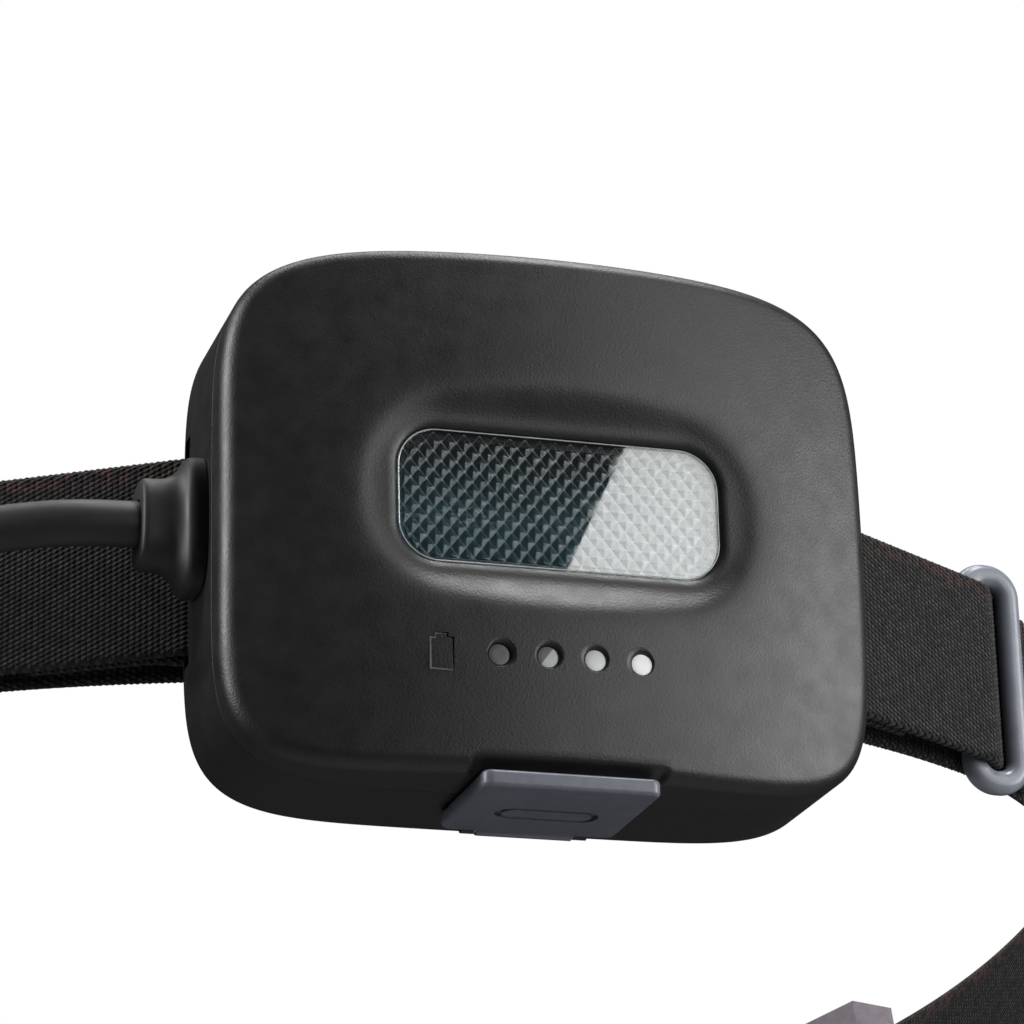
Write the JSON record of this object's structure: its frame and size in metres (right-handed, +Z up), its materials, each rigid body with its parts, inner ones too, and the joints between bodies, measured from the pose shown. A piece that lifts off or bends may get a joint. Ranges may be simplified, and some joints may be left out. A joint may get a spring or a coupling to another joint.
{
  "type": "headlamp",
  "caption": "Slim running headlamp: rounded front lamp with a lens, battery gauge and charging flap, held on an elastic head band with a lead to a rear battery pack.",
  "frame": {"origin": "where the inner face of the forehead band touches the middle of the forehead, level with the middle of the webbing there", "axes": "+Z up, the lamp shines along -Y, +Y points through the wearer's head to the back, +X is the right-hand side for someone who looks at the lamp"},
  "size_m": [0.2122, 0.2508, 0.0767],
  "materials": {
    "housing": "fine leather grain, matte",
    "seal": "matte",
    "lens": "clear with a lattice of small facets",
    "reflector": "bright",
    "led_board": "white solder mask",
    "led": "phosphor",
    "heat_spreader": "plain",
    "light_pipe": "clear white",
    "circuit_board": "solder mask",
    "gauge_led": "clear",
    "port_metal": "bright",
    "grey_trim": "satin",
    "steel": "plain",
    "button_rubber": "satin",
    "switch_body": "plain",
    "cable_rubber": "smooth",
    "clip_plastic": "satin",
    "webbing": "knitted elastic",
    "ring": "gloss",
    "adjuster": "satin",
    "pack_grey": "satin",
    "cell": "shrink wrap",
    "nickel": "plain"
  },
  "bodies": {
    "headlamp": {"front_shell": "housing", "rear_shell": "housing", "shell_seal": "seal", "lens": "lens", "lens_gasket": "seal", "reflector": "reflector", "led_board": "led_board", "leds": "led", "heat_spreader": "heat_spreader", "light_pipes": "light_pipe", "control_board": "circuit_board", "gauge_leds": "gauge_led", "usb_port": "port_metal", "cover_pin": "steel", "tact_switch": "switch_body", "switch_board": "circuit_board", "shell_screws": "steel", "cable_gland": "cable_rubber", "lead": "cable_rubber", "lead_clips": "clip_plastic", "forehead_band": "webbing", "strap_left": "webbing", "strap_right": "webbing", "ring_left": "ring", "ring_right": "ring", "side_band_left": "webbing", "side_band_right": "webbing", "pack_base": "pack_grey", "pack_cover": "housing", "pack_seal": "seal", "pack_gland": "cable_rubber", "cell": "cell", "cell_tabs": "nickel", "cell_board": "circuit_board", "pack_screws": "steel"},
    "port_cover": {"port_cover": "grey_trim"},
    "power_button": {"power_button": "button_rubber"},
    "adjuster": {"adjuster": "adjuster"}
  },
  "joints": [
    {"name": "port_cover_hinge", "type": "hinge", "parent": "headlamp", "child": "port_cover", "pos_m": [0, -0.0081, -0.0265], "axis": [1, 0, 0], "range_deg": [0, 115]},
    {"name": "power_button_press", "type": "slide", "parent": "headlamp", "child": "power_button", "axis": [0, 0, -1], "range_m": [0, 0.0005], "stiffness_N_per_m": 600},
    {"name": "adjuster_slide", "type": "hinge", "parent": "headlamp", "child": "adjuster", "pos_m": [0, 0.10104, -0.01354], "axis": [0, 0.1736, 0.9848], "range_deg": [-6, 6]}
  ]
}
